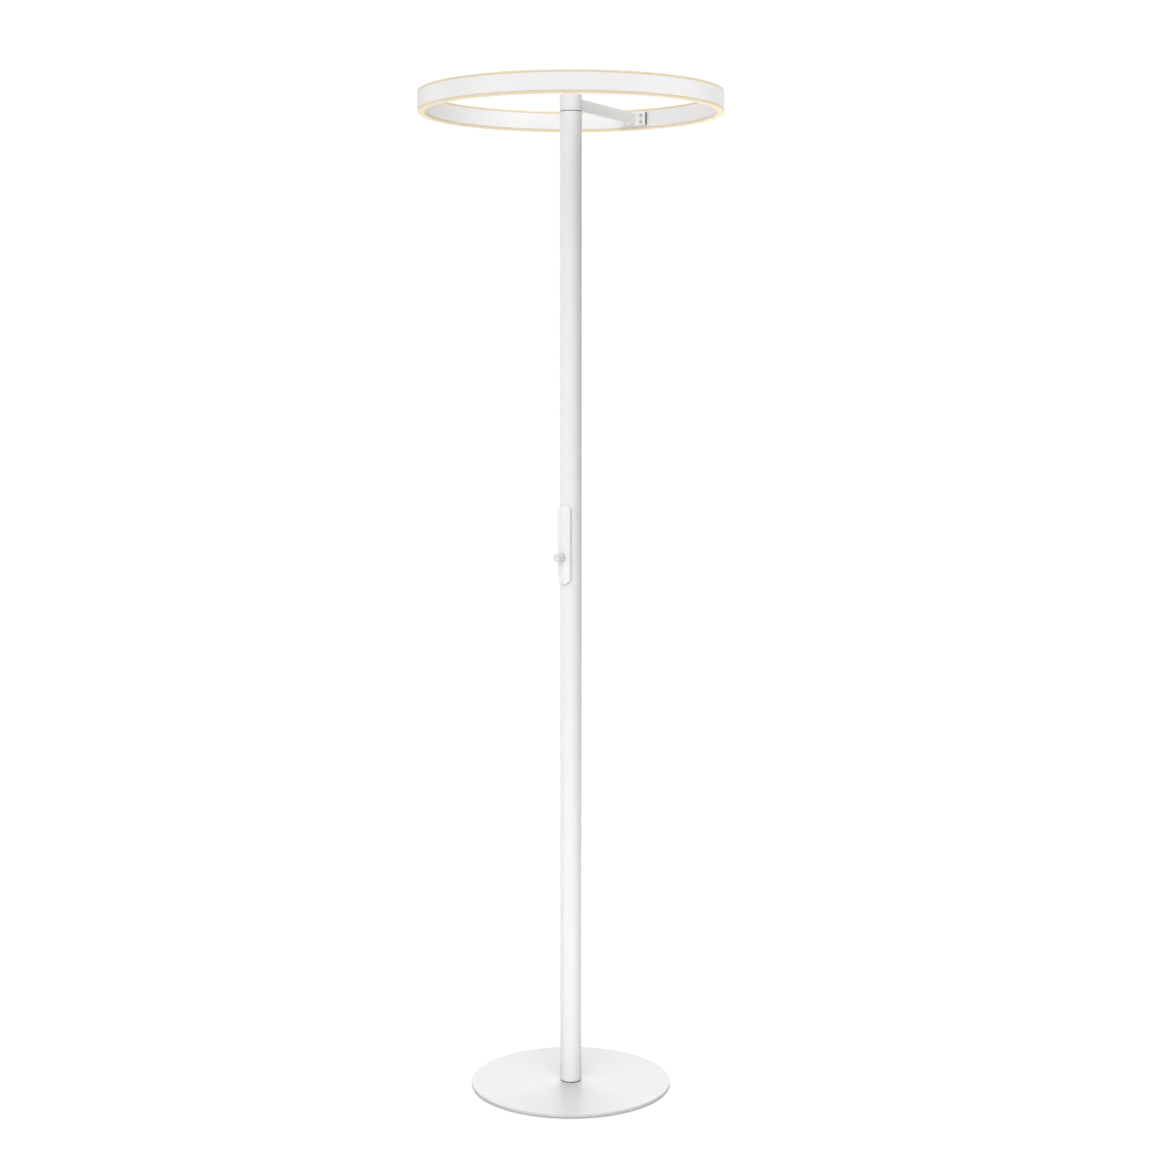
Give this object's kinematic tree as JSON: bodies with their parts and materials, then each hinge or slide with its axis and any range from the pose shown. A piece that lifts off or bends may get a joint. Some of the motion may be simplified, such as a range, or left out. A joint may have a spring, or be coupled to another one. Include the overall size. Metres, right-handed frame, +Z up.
{
  "type": "led floor lamp",
  "caption": "Floor lamp with a flat round base, a slim round pole with a dimmer knob, and a level glowing light ring held by one arm.",
  "frame": {"origin": "centre of the base's underside, on the floor under the pole", "axes": "+Z up along the pole, +Y to the back, where the arm meets the ring; the control faces the front, 12 degrees off it"},
  "size_m": [0.5403, 0.5404, 1.8],
  "materials": {
    "white_base": "satin white powder coat on a flat steel disc",
    "white_pole": "satin white powder coat on steel",
    "white_ring": "satin white powder coat on extruded aluminium",
    "white_control": "fine satin moulded plastic, white",
    "white_knob": "white lacquered turned aluminium",
    "opal": "opal acrylic, lit warm white from inside",
    "rubber_dark": "matt dark rubber",
    "inlet_nylon": "white nylon",
    "zinc_steel": "zinc-plated steel",
    "turned_steel": "turned or stamped steel, oiled",
    "black_anodised": "black anodised aluminium",
    "dimmer_brass": "nickel-plated brass",
    "shaft_metal": "turned aluminium shaft with a flat",
    "switch_plastic": "dark moulded plastic",
    "spring_steel": "spring steel wire",
    "board_green": "glass-fibre circuit board",
    "connector_nylon": "natural nylon",
    "driver_shell": "pale moulded plastic",
    "driver_components": "wound and moulded electronic parts",
    "lead_sheath": "white cable sheath",
    "strip_white": "white solder mask on a flexible strip",
    "chip_phosphor": "phosphor-coated light chips"
  },
  "bodies": {
    "root": {"base_plate": "white_base", "pole_tube": "white_pole", "head_cap": "white_pole", "support_arm": "white_pole", "arm_flange": "white_pole", "ring_profile": "white_ring", "control_housing": "white_control", "upper_diffuser": "opal", "lower_diffuser": "opal", "floor_pad": "rubber_dark", "foot_gasket": "rubber_dark", "driver_spacers": "rubber_dark", "cord_inlet_bush": "inlet_nylon", "cord_inlet_nut": "inlet_nylon", "base_screws": "zinc_steel", "head_grub_screws": "zinc_steel", "flange_screws": "zinc_steel", "terminal_screw": "zinc_steel", "control_board_screws": "zinc_steel", "foot_plug": "turned_steel", "ring_joint_plates": "turned_steel", "head_spigot": "black_anodised", "dimmer_bushing": "dimmer_brass", "dimmer_nut": "dimmer_brass", "dimmer_washer": "dimmer_brass", "dimmer_case": "switch_plastic", "return_spring": "spring_steel", "control_board": "board_green", "driver_board": "board_green", "board_connector": "connector_nylon", "terminal_block": "connector_nylon", "ring_feed": "connector_nylon", "driver_case": "driver_shell", "driver_lid": "driver_shell", "driver_parts": "driver_components", "mains_lead": "lead_sheath", "control_lead": "lead_sheath", "head_lead": "lead_sheath", "upper_led_strip": "strip_white", "lower_led_strip": "strip_white", "upper_led_chips": "chip_phosphor", "lower_led_chips": "chip_phosphor"},
    "switch": {"switch_plunger": "switch_plastic"},
    "knob": {"dimmer_shaft": "shaft_metal", "dimmer_knob": "white_knob", "knob_grub_screw": "zinc_steel"}
  },
  "joints": [
    {"name": "switch_push", "type": "slide", "parent": "root", "child": "switch", "axis": [0.2079, 0.9781, 0], "range_m": [0, 0.001], "stiffness_N_per_m": 1500, "springref_m": -0.001, "deforming": ["return_spring"]},
    {"name": "dimmer_turn", "type": "hinge", "parent": "switch", "child": "knob", "pos_m": [-0.00624, -0.02934, 0.9786], "axis": [0.2079, 0.9781, 0], "range_deg": [-140, 140]}
  ]
}
